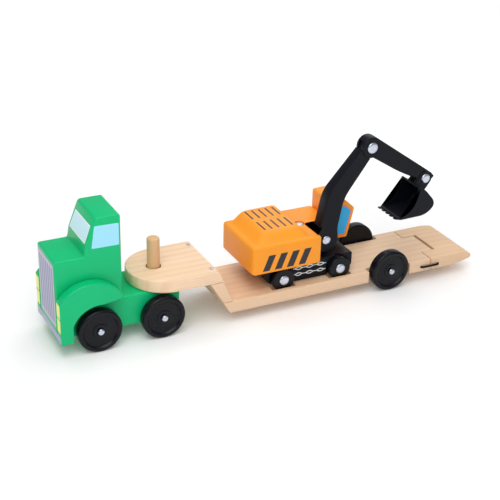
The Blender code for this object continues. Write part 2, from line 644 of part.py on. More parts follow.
wheelset("digger_rear", DIG_REAR_X, hub_z, DIG_WHEEL_R, DIG_WHEEL_W, DIG_INNER, DIG_AXLE_R, 5.0, 1.5)
slew_screw()
engine_body()
operator_cab()
boom()
pin("boom_pin", BOOM_X, BOOM_Z, PIN_R, -5.5, ARM_Y0 + ARM_W + GAP, 4.6, False)
stick()
pin("elbow_pin", ELBOW_X, ELBOW_Z, PIN_R, ARM_Y0 - GAP, ARM_Y0 + ARM_W + GAP, 5.5, True)
bucket()
pin("bucket_pin", WRIST_X, WRIST_Z, WRIST_PIN_R, ARM_Y0 - GAP, ARM_Y0 + ARM_W + GAP, 4.8, True)
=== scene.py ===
import math

import bpy
import numpy as np
from mathutils import Matrix, Vector


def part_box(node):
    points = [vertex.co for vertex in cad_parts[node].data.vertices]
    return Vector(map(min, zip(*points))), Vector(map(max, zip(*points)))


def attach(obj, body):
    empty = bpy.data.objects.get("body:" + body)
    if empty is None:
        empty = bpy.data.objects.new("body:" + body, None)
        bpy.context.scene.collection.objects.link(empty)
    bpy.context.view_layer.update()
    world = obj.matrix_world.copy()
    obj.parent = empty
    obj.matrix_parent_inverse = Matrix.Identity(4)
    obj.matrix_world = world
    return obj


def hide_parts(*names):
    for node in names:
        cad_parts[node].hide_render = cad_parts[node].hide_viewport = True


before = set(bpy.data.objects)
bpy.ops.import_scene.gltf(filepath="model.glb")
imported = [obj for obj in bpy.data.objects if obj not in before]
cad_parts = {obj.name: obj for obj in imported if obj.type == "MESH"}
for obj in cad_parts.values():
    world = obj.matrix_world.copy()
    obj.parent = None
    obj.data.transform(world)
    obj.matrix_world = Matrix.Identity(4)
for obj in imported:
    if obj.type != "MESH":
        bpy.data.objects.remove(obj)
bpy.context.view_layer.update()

# ---------------------------------------------------------------------------------------------------
# Studio. A pale floor under the wheels, a white room, one large soft key light over the nose and a
# weaker fill behind. The camera stands left of the nose with a long lens, looking down on the set.

MM = 0.001
AXLE_X = 0.5 * (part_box("trailer_axle")[0][0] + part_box("trailer_axle")[1][0])


def at(x, y, z):
    """A place in metres from millimetres: x from the trailer axle towards the nose, y left, z up."""
    return Vector((AXLE_X + x * MM, y * MM, z * MM))


scene = bpy.context.scene
scene.view_settings.view_transform = "Standard"
camera = bpy.data.objects.new("camera", bpy.data.cameras.new("camera"))
camera.data.lens = 86.04
camera.data.sensor_width = 36.0
camera_turn, camera_rise, camera_roll = 153.23, 26.245, 1.41
camera.rotation_mode = "XYZ"
camera.matrix_world = (
    Matrix.Translation(at(602.24, 919.79, 562.2))
    @ Matrix.Rotation(math.radians(camera_turn), 4, "Z")
    @ Matrix.Rotation(math.radians(90 - camera_rise), 4, "X")
    @ Matrix.Rotation(math.radians(camera_roll), 4, "Z")
)
scene.collection.objects.link(camera)
scene.camera = camera

room = bpy.data.worlds.new("white_room")
room.use_nodes = True
room.node_tree.nodes["Background"].inputs["Color"].default_value = (1.0, 1.0, 1.0, 1.0)
room.node_tree.nodes["Background"].inputs["Strength"].default_value = 0.30
scene.world = room

for lamp_name, place, size, power in (
    ("key_light", at(520, 620, 900), 0.9, 7.2),
    ("top_light", at(100, -60, 1100), 1.2, 5.6),
    ("back_light", at(-450, -500, 600), 0.8, 2.0),
):
    lamp = bpy.data.lights.new(lamp_name, "AREA")
    lamp.size = size
    lamp.energy = power
    stand = bpy.data.objects.new(lamp_name, lamp)
    stand.location = place
    stand.rotation_euler = (at(110, 0, 40) - place).to_track_quat("-Z", "Y").to_euler()
    scene.collection.objects.link(stand)


def linear(code):
    """sRGB hex to linear: c / 12.92 up to 0.04045, above it ((c + 0.055) / 1.055) to the power 2.4."""
    srgb = [int(code[i:i + 2], 16) / 255 for i in (1, 3, 5)]
    return tuple(c / 12.92 if c <= 0.04045 else ((c + 0.055) / 1.055) ** 2.4 for c in srgb) + (1.0,)


def add(tree, kind, inputs=None, **settings):
    """Adds a node, sets its settings, then sets each input or links it when given a socket."""
    made = tree.nodes.new("ShaderNode" + kind)
    for key, value in settings.items():
        setattr(made, key, value)
    for key, value in (inputs or {}).items():
        if isinstance(value, bpy.types.NodeSocket):
            tree.links.new(value, made.inputs[key])
        else:
            made.inputs[key].default_value = value
    return made


def blank_material(name):
    """An empty material with its Principled shader: returns the material, its tree and the shader."""
    made = bpy.data.materials.new(name)
    made.use_nodes = True
    return made, made.node_tree, made.node_tree.nodes["Principled BSDF"]


def per_mm(width):
    """Noise scale whose features are about this many millimetres wide."""
    return 1000.0 / width


paper, tree, skin = blank_material("matte_studio_paper")
skin.inputs["Roughness"].default_value = 0.9
grit = add(tree, "TexNoise", {"Vector": add(tree, "TexCoord").outputs["Object"], "Scale": per_mm(40.0)})
tone = add(tree, "MixRGB", {0: grit.outputs["Fac"], 1: linear("#FBFBFB"), 2: linear("#F7F7F8")})
tree.links.new(tone.outputs["Color"], skin.inputs["Base Color"])
far = add(tree, "VectorMath", {0: add(tree, "TexCoord").outputs["Object"]}, operation="LENGTH")
# The paper glows more with distance, so that the floor runs out into the white room without a line.
glow = add(tree, "MapRange", {0: far.outputs["Value"], 1: 0.25, 2: 1.3, 3: 0.06, 4: 0.62})
tree.links.new(glow.outputs[0], skin.inputs["Emission Strength"])
skin.inputs["Emission Color"].default_value = (1.0, 1.0, 1.0, 1.0)

floor_mesh = bpy.data.meshes.new("floor")
reach = 4.0
floor_mesh.from_pydata(
    [(-reach, -reach, 0), (reach, -reach, 0), (reach, reach, 0), (-reach, reach, 0)], [], [(0, 1, 2, 3)])
floor = bpy.data.objects.new("floor", floor_mesh)
scene.collection.objects.link(floor)
floor.data.materials.append(paper)

# ---------------------------------------------------------------------------------------------------
# Cab and hood: one block of wood, sawn to the cab's outline, sanded and sprayed with green gloss
# lacquer. Its edges are broken by about a millimetre and a half. It is glued on the beam.


def sprayed_lacquer(name, code, rough=0.28):
    """Gloss lacquer on sanded wood: an even colour, a faint orange peel 2.5 mm wide and the wood's
    grain just showing through as shallow lines along the length."""
    made, tree, skin = blank_material(name)
    place = add(tree, "TexCoord").outputs["Object"]
    cloud = add(tree, "TexNoise", {"Vector": place, "Scale": per_mm(30.0), "Detail": 3.0})
    deep = [c * 0.90 for c in linear(code)[:3]] + [1.0]
    tone = add(tree, "MixRGB", {0: cloud.outputs["Fac"], 1: deep, 2: linear(code)})
    peel = add(tree, "TexNoise", {"Vector": place, "Scale": per_mm(2.5), "Detail": 2.0})
    along = add(tree, "Mapping", {"Vector": place, "Scale": (1.0, 14.0, 14.0)})
    grain = add(tree, "TexNoise", {"Vector": along.outputs[0], "Scale": per_mm(16.0), "Detail": 4.0})
    height = add(tree, "MixRGB", {0: 0.35, 1: peel.outputs["Fac"], 2: grain.outputs["Fac"]})
    bump = add(tree, "Bump", {"Height": height.outputs["Color"], "Strength": 0.09, "Distance": 0.0004})
    shine = add(tree, "MapRange", {0: cloud.outputs["Fac"], 3: rough - 0.04, 4: rough + 0.08})
    tree.links.new(tone.outputs["Color"], skin.inputs["Base Color"])
    tree.links.new(bump.outputs["Normal"], skin.inputs["Normal"])
    tree.links.new(shine.outputs[0], skin.inputs["Roughness"])
    skin.inputs["Specular IOR Level"].default_value = 0.22
    return made


def printed_ink(name, code, rough=0.35):
    """Screen-printed ink: flat and even, with a faint mottle a millimetre wide."""
    made, tree, skin = blank_material(name)
    place = add(tree, "TexCoord").outputs["Object"]
    mottle = add(tree, "TexNoise", {"Vector": place, "Scale": per_mm(1.2), "Detail": 2.0})
    deep = [c * 0.93 for c in linear(code)[:3]] + [1.0]
    tone = add(tree, "MixRGB", {0: mottle.outputs["Fac"], 1: deep, 2: linear(code)})
    tree.links.new(tone.outputs["Color"], skin.inputs["Base Color"])
    shine = add(tree, "MapRange", {0: mottle.outputs["Fac"], 3: rough - 0.05, 4: rough + 0.05})
    tree.links.new(shine.outputs[0], skin.inputs["Roughness"])
    return made


def softened(corners, cut, steps=5):
    """Corners of an outline turned to curves: each is a quadratic curve (1-t)^2 a + 2 t (1-t) p + t^2 b
    between points a and b that lie `cut` back from the corner p, or less on a short side."""
    p = np.array(corners, float)
    back = np.roll(p, 1, 0) - p
    on = np.roll(p, -1, 0) - p
    back_l = np.linalg.norm(back, axis=1, keepdims=True)
    on_l = np.linalg.norm(on, axis=1, keepdims=True)
    cut = np.broadcast_to(np.array(cut, float), (len(p),))[:, None]
    a = p + back / back_l * np.minimum(cut, 0.46 * back_l)
    b = p + on / on_l * np.minimum(cut, 0.46 * on_l)
    t = np.linspace(0, 1, steps + 1)[None, :, None]
    curve = (1 - t) ** 2 * a[:, None] + 2 * t * (1 - t) * p[:, None] + t ** 2 * b[:, None]
    return curve.reshape(-1, 2)


def softened_chain(before, corners, after, cut, steps=5):
    """The same curves for corners that lie between two fixed points, which are left out of the result."""
    cuts = [1.0] + list(np.broadcast_to(np.array(cut, float), (len(corners),))) + [1.0]
    curve = softened([before] + list(corners) + [after], cuts, steps)
    return curve[steps + 1:-(steps + 1)]


def shrunk(outline, inset):
    """The outline moved inwards: each point goes along the mitre of its two sides' inward normals, and
    a side that this turns back on itself closes to its middle."""
    back = outline - np.roll(outline, 1, 0)
    on = np.roll(outline, -1, 0) - outline
    area = np.sum(outline[:, 0] * np.roll(outline[:, 1], -1) - outline[:, 1] * np.roll(outline[:, 0], -1))
    turn = np.sign(area)
    n1 = np.stack([-back[:, 1], back[:, 0]], 1) * turn
    n2 = np.stack([-on[:, 1], on[:, 0]], 1) * turn
    n1 = n1 / np.maximum(np.linalg.norm(n1, axis=1, keepdims=True), 1e-9)
    n2 = n2 / np.maximum(np.linalg.norm(n2, axis=1, keepdims=True), 1e-9)
    mitre = (n1 + n2) / np.maximum(1 + np.sum(n1 * n2, 1, keepdims=True), 0.35)
    moved = outline + mitre * inset
    for _ in range(12):
        turned_back = np.sum((np.roll(moved, -1, 0) - moved) * on, 1) < 0
        if not turned_back.any():
            break
        middle = 0.5 * (moved + np.roll(moved, -1, 0))
        moved = np.where(turned_back[:, None], middle, moved)
        moved = np.where(np.roll(turned_back, 1)[:, None], np.roll(middle, 1, 0), moved)
    return moved


def closed_mesh(name, rings, material):
    """A closed skin over rings of equal length, (ring, point, 3) in millimetres, with a flat face on
    each end. Returns the object with its faces pointing out."""
    count, around = rings.shape[:2]
    index = np.arange(count * around).reshape(count, around)
    low, high = index[:-1], index[1:]
    sides = np.stack([low, np.roll(low, -1, 1), np.roll(high, -1, 1), high], -1).reshape(-1, 4)
    faces = [tuple(map(int, f)) for f in sides] + [tuple(index[0].tolist()), tuple(index[-1].tolist())]
    points = rings.reshape(-1, 3) * MM + np.array([AXLE_X, 0, 0])
    mesh = bpy.data.meshes.new(name)
    mesh.from_pydata(points.tolist(), [], faces)
    made = bpy.data.objects.new(name, mesh)
    scene.collection.objects.link(made)
    mesh.materials.append(material)
    outwards(made)
    return made


def outwards(made, fresh=True):
    """Points every face out, shades smooth and keeps edges over 38 degrees. A fresh skin also gets its
    doubled points merged and its many-sided faces split."""
    import bmesh
    work = bmesh.new()
    work.from_mesh(made.data)
    if fresh:
        bmesh.ops.remove_doubles(work, verts=work.verts, dist=4e-6)
        bmesh.ops.dissolve_degenerate(work, edges=work.edges, dist=1e-6)
        wide = [face for face in work.faces if len(face.verts) > 4]
        bmesh.ops.triangulate(work, faces=wide, quad_method="BEAUTY", ngon_method="EAR_CLIP")
    bmesh.ops.recalc_face_normals(work, faces=work.faces)
    work.to_mesh(made.data)
    work.free()
    made.data.shade_smooth()
    made.data.set_sharp_from_angle(angle=math.radians(38))


def slab(name, outline, axis, low, high, edge, material, lean=None, steps=4):
    """A board of a flat outline between two levels, with quarter-round edges of radius `edge`: ring k
    lies at inset e(1 - sin a) and depth e(1 - cos a). axis is the board's thickness direction."""
    a = np.linspace(0, np.pi / 2, steps + 1)
    inset = np.concatenate([[edge + 0.12], edge * (1 - np.sin(a)), edge * (1 - np.cos(a)), [edge + 0.12]])
    level = np.concatenate([[low], low + edge * (1 - np.cos(a)), high - edge * (1 - np.sin(a)), [high]])
    flat = np.stack([shrunk(np.array(outline, float), i) for i in inset])
    depth = np.broadcast_to(level[:, None], flat.shape[:2])
    order = {"y": (flat[..., 0], depth, flat[..., 1]), "z": (flat[..., 0], flat[..., 1], depth),
             "x": (depth, flat[..., 0], flat[..., 1])}[axis]
    rings = np.stack(order, -1)
    if lean is not None:
        rings = lean(rings)
    return closed_mesh(name, rings, material)


def patch(name, outline, origin, across, up, material, proud=0.06):
    """Ink on a flat face: a film `proud` mm high with its outline in mm from `origin`, along the
    directions `across` and `up`, sunk a little way into the face."""
    across, up = np.array(across, float), np.array(up, float)
    up = up / np.linalg.norm(up)
    across = across / np.linalg.norm(across)
    out = np.cross(across, up)
    flat = np.array(outline, float)
    base = np.array(origin, float) + flat[:, :1] * across + flat[:, 1:] * up
    return closed_mesh(name, np.stack([base - 0.4 * out, base + proud * out]), material)


def put(piece, body, slot_name, *nodes):
    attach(piece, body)
    if nodes:
        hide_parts(*nodes)


green = sprayed_lacquer("green_lacquer_on_wood", "#0CC07A")
cab_low, cab_high = [np.array(c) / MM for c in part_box("cab_and_hood")]
cab_rear = cab_low[0] - AXLE_X / MM
nose_x = cab_high[0] - AXLE_X / MM
half_w = cab_high[1]
roof_z = cab_high[2]
hood_z = 92.0
nose_back = nose_x - 10.3
foot_z = cab_low[2]
seam_z = 45.8
cab_outline = [(cab_rear, seam_z), (nose_back, seam_z), (nose_back, foot_z), (nose_x, foot_z),
               (nose_x, hood_z)]
cab_outline += [(cab_rear + 34.7, hood_z), (cab_rear + 32.9, hood_z + 10.5), (cab_rear + 23.1, roof_z)]
cab_outline += [(cab_rear, roof_z)]
cab = slab("cab_block", softened(cab_outline, [0.6, 0.5, 0.5, 1.2, 2.4, 2.0, 1.2, 3.0, 2.4]), "y",
           -half_w, half_w, 1.7, green)
put(cab, "tractor", "green_paint", "cab_and_hood")

# ---------------------------------------------------------------------------------------------------
# Printed details of the cab and nose: pale blue glass with a white or lighter rim, a lilac grille with
# upright slots, two yellow lamps on each fender and a grey bumper strip. All is ink on the lacquer.

sky_ink = printed_ink("pale_blue_window_ink", "#A0E4FF")
frost_ink = printed_ink("frosted_windscreen_ink", "#CFF3FF")
white_ink = printed_ink("white_ink", "#F4FBFF")
grille_ink = printed_ink("lilac_grey_ink", "#B9BDD6")
slot_ink = printed_ink("dark_lilac_ink", "#8480A6")
rim_ink = printed_ink("pink_grey_rim_ink", "#D6B4D0")
bumper_ink = printed_ink("blue_grey_ink", "#A9ACCB")
lamp_ink = printed_ink("yellow_lamp_ink", "#FFFA78")
orange_ink = printed_ink("deep_orange_ink", "#FF6A0A")
black_ink = printed_ink("black_ink", "#16161C")
cyan_ink = printed_ink("cyan_window_ink", "#0AACE6")

side_window = [(cab_rear + 1.9, hood_z + 6.6), (cab_rear + 27.6, hood_z + 7.0),
               (cab_rear + 24.4, hood_z + 28.2),
               (cab_rear + 1.9, hood_z + 27.6)]
for side, word in ((1, "left"), (-1, "right")):
    shape = softened(side_window, 1.2)
    flip = shape * np.array([-side, 1.0])
    pane = patch(word + "_window_print", flip, (0, side * half_w, 0), (-side, 0, 0), (0, 0, 1), sky_ink)
    put(pane, "tractor", "green_paint")

screen_foot = np.array([cab_rear + 32.9, 0, hood_z + 10.5])
screen_head = np.array([cab_rear + 23.1, 0, roof_z])
screen_up = screen_head - screen_foot
pane = [(-20.6, 0.8), (20.6, 0.8), (19.8, 17.9), (-19.8, 17.9)]
put(patch("windscreen_rim_print", softened(pane, 1.0), screen_foot, (0, 1, 0), screen_up, white_ink, 0.05),
    "tractor", "green_paint")
pane = [(-19.4, 2.0), (19.4, 2.0), (18.7, 16.8), (-18.7, 16.8)]
put(patch("windscreen_print", softened(pane, 0.8), screen_foot, (0, 1, 0), screen_up, frost_ink, 0.09),
    "tractor", "green_paint")

for name, wide, low, high, ink, proud in (
    ("grille_rim_print", 21.2, 26.4, 87.4, rim_ink, 0.04),
    ("grille_print", 19.9, 27.8, 86.0, grille_ink, 0.07),
):
    shape = [(-wide, low), (wide, low), (wide, high), (-wide, high)]
    put(patch(name, softened(shape, 1.5), (nose_x, 0, 0), (0, 1, 0), (0, 0, 1), ink, proud),
        "tractor", "green_paint")
slot_count = 7
slot_pitch = 39.0 / slot_count
for k in range(slot_count):
    mid = (k - (slot_count - 1) / 2) * slot_pitch
    shape = [(mid - 1.5, 30.0), (mid + 1.5, 30.0), (mid + 1.5, 84.0), (mid - 1.5, 84.0)]
    put(patch("grille_slot_print_%d" % (k + 1), softened(shape, 1.2), (nose_x, 0, 0), (0, 1, 0), (0, 0, 1),
              slot_ink, 0.10), "tractor", "green_paint")
for side, word in ((1, "left"), (-1, "right")):
    for low, high, tag in ((26.6, 39.8, "lower"), (41.2, 54.6, "upper")):
        inner, outer = side * 26.0, side * 34.4
        y0, y1 = min(inner, outer), max(inner, outer)
        shape = [(y0, low), (y1, low), (y1, high), (y0, high)]
        put(patch(word + "_" + tag + "_lamp_print", softened(shape, 1.0), (nose_x, 0, 0),
                  (0, 1, 0), (0, 0, 1),
                  lamp_ink, 0.08), "tractor", "green_paint")
shape = [(-34.6, 16.0), (34.6, 16.0), (34.6, 22.6), (-34.6, 22.6)]
put(patch("bumper_print", softened(shape, 1.0), (nose_x, 0, 0), (0, 1, 0), (0, 0, 1), bumper_ink, 0.08),
    "tractor", "green_paint")

# ---------------------------------------------------------------------------------------------------
# Fenders: two arches sawn from board, rounded, lacquered green and glued to the sides of the nose.
# The outside follows one arc over the front wheel, the inside a wheel arch 27 mm in radius.


def arc(cx, cz, r, start, stop, count):
    """Points on a circle from one angle to another in degrees: centre plus r (cos a, sin a)."""
    a = np.radians(np.linspace(start, stop, count))
    return np.stack([cx + r * np.cos(a), cz + r * np.sin(a)], 1)


fender_r, arch_r, wheel_z = 35.7, 27.0, 21.0
front_axle_x = (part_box("front_axle")[0][0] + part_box("front_axle")[1][0]) / 2 / MM - AXLE_X / MM
crown_x, crown_z = nose_x - 29.0, 34.8
swing = math.degrees(math.asin(20.8 / fender_r))
fender_outline = np.concatenate([
    [(nose_x, foot_z)],
    arc(crown_x, crown_z, fender_r, swing, 180 - swing, 40),
    [(crown_x - 30.1, 54.6), (crown_x - 30.3, 53.2), (crown_x - 29.8, 51.6), (crown_x - 28.2, 50.3)],
    arc(front_axle_x, wheel_z, arch_r, 96, 22.2, 30),
    [(nose_x - 12.0, foot_z)],
])
for side, word in ((1, "left"), (-1, "right")):
    low, high = [c[1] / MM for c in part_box(word + "_fender")]
    guard = slab(word + "_fender_arch", fender_outline, "y", low, high, 1.1, green)
    put(guard, "tractor", "green_paint", word + "_fender")

# ---------------------------------------------------------------------------------------------------
# Chassis beam: the green beam under the cab, bored for both axles and for the hitch peg. The frame's
# own solid stays, with the lacquer.

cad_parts["chassis_beam"].data.materials.clear()
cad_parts["chassis_beam"].data.materials.append(green)

# ---------------------------------------------------------------------------------------------------
# Wheels, axles and caps. The wheels are turned and sprayed gloss black, with a shallow dish inside a
# raised ring; bright pressed caps hold them on steel rods.


def turned(name, profile, centre, axis, material, segments=96):
    """A lathe body: each (t, r) of the profile is carried round the axis as t along it and r away from
    it, r (cos a, sin a) across."""
    t, r = np.array(profile, float).T
    a = np.linspace(0, 2 * np.pi, segments, endpoint=False)
    u, v, along = r[:, None] * np.cos(a), r[:, None] * np.sin(a), t[:, None] + 0 * a[None]
    order = (u, along, v) if axis == "y" else (u, v, along)
    return closed_mesh(name, np.stack(order, -1) + np.array(centre, float), material)


def gloss_black(name, code, rough):
    """Black gloss paint on turned wood: near black with a trace of blue, dulled in soft patches, with a
    fine peel two millimetres wide."""
    made, tree, skin = blank_material(name)
    place = add(tree, "TexCoord").outputs["Object"]
    patches = add(tree, "TexNoise", {"Vector": place, "Scale": per_mm(9.0), "Detail": 4.0})
    peel = add(tree, "TexNoise", {"Vector": place, "Scale": per_mm(2.0), "Detail": 2.0})
    tone = add(tree, "MixRGB", {0: patches.outputs["Fac"], 1: linear(code), 2: linear("#15151C")})
    shine = add(tree, "MapRange", {0: patches.outputs["Fac"], 3: rough, 4: rough + 0.05})
    bump = add(tree, "Bump", {"Height": peel.outputs["Fac"], "Strength": 0.03, "Distance": 0.0001})
    tree.links.new(tone.outputs["Color"], skin.inputs["Base Color"])
    tree.links.new(shine.outputs[0], skin.inputs["Roughness"])
    tree.links.new(bump.outputs["Normal"], skin.inputs["Normal"])
    skin.inputs["Specular IOR Level"].default_value = 0.20
    return made


def bright_steel(name, code, rough):
    """Pressed mild steel with a bright plating: metallic, with faint turning marks under half a
    millimetre wide and cloudy roughness."""
    made, tree, skin = blank_material(name)
    place = add(tree, "TexCoord").outputs["Object"]
    cloud = add(tree, "TexNoise", {"Vector": place, "Scale": per_mm(2.5), "Detail": 3.0})
    marks = add(tree, "TexNoise", {"Vector": place, "Scale": per_mm(0.5), "Detail": 2.0})
    tone = add(tree, "MixRGB", {0: cloud.outputs["Fac"], 1: linear("#AEB4C2"), 2: linear(code)})
    shine = add(tree, "MapRange", {0: cloud.outputs["Fac"], 3: rough - 0.06, 4: rough + 0.1})
    bump = add(tree, "Bump", {"Height": marks.outputs["Fac"], "Strength": 0.08, "Distance": 0.0001})
    tree.links.new(tone.outputs["Color"], skin.inputs["Base Color"])
    tree.links.new(shine.outputs[0], skin.inputs["Roughness"])
    tree.links.new(bump.outputs["Normal"], skin.inputs["Normal"])
    skin.inputs["Metallic"].default_value = 1.0
    return made


wheel_black = gloss_black("gloss_black_paint", "#0C0D14", 0.24)
cap_steel = bright_steel("bright_plated_steel", "#E4EBF8", 0.28)


def wheel_profile(r, width, dish):
    """From the inner face out: flat face, rounded tread edges of about a tenth of the radius, then on
    the outer face a raised ring, a step down of `dish` to a flat disc and a low boss round the axle."""
    e = 0.11 * r
    out = [(0.0, 0.12 * r), (0.0, r - e - 0.1)]
    out += [(e * (1 - math.cos(k)), r - e + e * math.sin(k)) for k in np.linspace(0, np.pi / 2, 7)]
    out += [(width - e + e * math.sin(k), r - e + e * math.cos(k)) for k in np.linspace(0, np.pi / 2, 7)]
    if dish:
        out += [(width, 0.82 * r), (width - 0.12 * dish, 0.805 * r), (width - 0.8 * dish, 0.765 * r)]
        out += [(width - dish, 0.745 * r), (width - dish, 0.36 * r), (width - 0.93 * dish, 0.34 * r)]
        out += [(width - 0.62 * dish, 0.325 * r), (width - 0.55 * dish, 0.30 * r)]
    return out + [(width - (0.55 * dish if dish else 0.0), 0.12 * r)]


def fit_wheels(prefix, body, dish):
    """Both wheels and both caps of one axle, each where its CAD solid stands."""
    for side, word in ((1, "left"), (-1, "right")):
        node_name = prefix + "_" + word + "_wheel"
        low, high = [np.array(c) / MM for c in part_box(node_name)]
        centre = (0.5 * (low[0] + high[0]) - AXLE_X / MM, 0.0, 0.5 * (low[2] + high[2]))
        radius, width = 0.5 * (high[2] - low[2]), high[1] - low[1]
        inner = low[1] if side > 0 else high[1]
        shape = [(inner + side * t, r) for t, r in wheel_profile(radius, width, dish)]
        put(turned(node_name + "_turned", shape, centre, "y", wheel_black), body, "black_gloss", node_name)
        cap_name = prefix + "_" + word + "_cap"
        low, high = [np.array(c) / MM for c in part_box(cap_name)]
        base = low[1] if side > 0 else high[1]
        r, h = 0.5 * (high[2] - low[2]), high[1] - low[1]
        dome = [(base + side * h * math.sin(k), r * math.cos(k) ** 0.55) for k in np.linspace(0, 1.5, 12)]
        dome = [(base - side * 0.25, r)] + dome
        put(turned(cap_name + "_pressed", dome, centre, "y", cap_steel, 48), body, "steel", cap_name)
    rod_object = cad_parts[prefix + "_axle"]
    rod_object.data.materials.clear()
    rod_object.data.materials.append(cap_steel)


fit_wheels("front", "front_wheelset", 2.0)
fit_wheels("rear", "rear_wheelset", 2.0)
fit_wheels("trailer", "trailer_wheelset", 2.0)
fit_wheels("digger_front", "digger_front_wheelset", 0.0)
fit_wheels("digger_rear", "digger_rear_wheelset", 0.0)

# ---------------------------------------------------------------------------------------------------
# Hitch peg and trailer boards: planed pine, sanded and left clear. The grain runs along the boards;
# the growth rings show as soft bands a few millimetres wide.


def planed_pine(name, pale, dark, turn=(0.0, 0.0, 0.0), shift=0.0):
    """Clear pine: bands of late wood about 6 mm apart, bent by slow noise, over fibres a millimetre
    wide and 30 mm long, with a little bump along the fibres."""
    made, tree, skin = blank_material(name)
    place = add(tree, "TexCoord").outputs["Object"]
    laid = add(tree, "Mapping", {"Vector": place, "Rotation": turn, "Location": (shift, shift, shift)})
    long_way = add(tree, "Mapping", {"Vector": laid.outputs[0], "Scale": (0.10, 1.0, 1.0)})
    rings = add(tree, "TexWave", {"Vector": long_way.outputs[0], "Scale": per_mm(30.0), "Distortion": 3.0,
                                  "Detail": 2.0, "Detail Scale": 0.8}, bands_direction="Y")
    ring_lines = add(tree, "MapRange", {0: rings.outputs["Fac"], 1: 0.55, 2: 1.0, 3: 0.0, 4: 0.20})
    thread = add(tree, "Mapping", {"Vector": laid.outputs[0], "Scale": (0.035, 1.0, 1.0)})
    fibres = add(tree, "TexNoise", {"Vector": thread.outputs[0], "Scale": per_mm(1.1), "Detail": 5.0})
    slow = add(tree, "TexNoise", {"Vector": long_way.outputs[0], "Scale": per_mm(14.0), "Detail": 2.0})
    base = add(tree, "MixRGB", {0: slow.outputs["Fac"], 1: linear(pale), 2: linear(dark)})
    lines = add(tree, "MixRGB", {0: ring_lines.outputs[0], 1: base.outputs["Color"], 2: linear("#CF9C6C")})
    hair = add(tree, "MapRange", {0: fibres.outputs["Fac"], 1: 0.35, 2: 0.75, 3: 0.0, 4: 0.26})
    tone = add(tree, "MixRGB", {0: hair.outputs[0], 1: lines.outputs["Color"], 2: linear("#D3A87E")})
    bump = add(tree, "Bump", {"Height": fibres.outputs["Fac"], "Strength": 0.12, "Distance": 0.0003})
    shine = add(tree, "MapRange", {0: fibres.outputs["Fac"], 3: 0.45, 4: 0.62})
    tree.links.new(tone.outputs["Color"], skin.inputs["Base Color"])
    tree.links.new(bump.outputs["Normal"], skin.inputs["Normal"])
    tree.links.new(shine.outputs[0], skin.inputs["Roughness"])
    return made


upright = (0.0, math.pi / 2, 0.0)
pine_board = planed_pine("planed_pine_board", "#F6DABC", "#F0CDA8")
pine_deck = planed_pine("planed_pine_deck", "#EFD0B0", "#E6C09C", shift=0.37)
pine_ramp = planed_pine("planed_pine_ramp", "#ECCBA8", "#E2BC96", shift=0.71)
pine_dowel = planed_pine("pine_dowel", "#E2BA8E", "#D2A578", turn=upright, shift=0.11)


def settled(made):
    """Works out the object's modifiers and keeps the result as its mesh."""
    graph = bpy.context.evaluated_depsgraph_get()
    worked = bpy.data.meshes.new_from_object(made.evaluated_get(graph))
    made.modifiers.clear()
    made.data = worked


def worked_with(made, tool, operation="DIFFERENCE"):
    """Cuts the tool's shape out of the piece, or joins it on, then throws the tool away."""
    step = made.modifiers.new("step", "BOOLEAN")
    step.object = tool
    step.operation = operation
    step.solver = "EXACT"
    bpy.context.view_layer.update()
    settled(made)
    bpy.data.objects.remove(tool, do_unlink=True)
    while len(made.data.materials) > 1:
        made.data.materials.pop()
    made.data.polygons.foreach_set("material_index", np.zeros(len(made.data.polygons), dtype=np.int32))
    outwards(made, fresh=False)


def block(x0, x1, y0, y1, z0, z1, edge=0.0):
    """A plain rectangular cutter in millimetres, or one with corners softened in plan."""
    corners = [(x0, y0), (x1, y0), (x1, y1), (x0, y1)]
    plan = softened(corners, edge) if edge else np.array(corners, float)
    rings = np.stack([np.concatenate([plan, np.full((len(plan), 1), z)], 1) for z in (z0, z1)])
    return closed_mesh("cutter", rings, black_ink)


def drill(axis, r, low, high, centre, segments=48):
    """A round cutter along an axis."""
    return turned("cutter", [(low, r), (high, r)], centre, axis, black_ink, segments)


peg_low, peg_high = [np.array(c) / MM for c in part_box("hitch_peg")]
peg_x = 0.5 * (peg_low[0] + peg_high[0]) - AXLE_X / MM
peg_r, peg_top = 0.5 * (peg_high[0] - peg_low[0]), peg_high[2]
peg_round = 1.8
peg_shape = [(peg_low[2], peg_r - 0.8), (peg_low[2] + 0.8, peg_r), (peg_top - peg_round, peg_r)]
peg_shape += [(peg_top - peg_round + peg_round * math.sin(k), peg_r - peg_round + peg_round * math.cos(k))
              for k in (0.3, 0.6, 0.9, 1.2, 1.5708)]
put(turned("peg_dowel", peg_shape, (peg_x, 0, 0), "z", pine_dowel, 64), "peg", "pine", "hitch_peg")

plate_low, plate_high = [np.array(c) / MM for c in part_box("gooseneck_plate")]
board_w = plate_high[1]
plate_rear = plate_low[0] - AXLE_X / MM
plate_z0, plate_z1 = plate_low[2], plate_high[2]
nose_centre = plate_high[0] - AXLE_X / MM - board_w
plate_outline = np.concatenate([arc(nose_centre, 0, board_w, -90, 90, 64),
                                [(plate_rear, board_w), (plate_rear, -board_w)]])


def lean_rear(rings):
    """Rear end of the plate sloped 5 mm over its thickness: x moves by 5 times the height's share."""
    share = (rings[..., 2] - plate_z0) / (plate_z1 - plate_z0)
    near = rings[..., 0] < plate_rear + 10
    rings[..., 0] = rings[..., 0] + np.where(near, 5.0 * share, 0.0)
    return rings


nail_y = 27.0
plate = slab("plate_board", plate_outline, "z", plate_z0, plate_z1, 1.2, pine_board, lean_rear)
worked_with(plate, drill("z", peg_r + 1.3, plate_z0 - 5, plate_z1 + 5, (peg_x, 0, 0), 64))
for side in (1, -1):
    worked_with(plate, drill("z", 1.3, plate_z0 - 5, plate_z1 + 5, (plate_rear + 9.0, side * nail_y, 0), 20))
put(plate, "trailer", "pine", "gooseneck_plate")

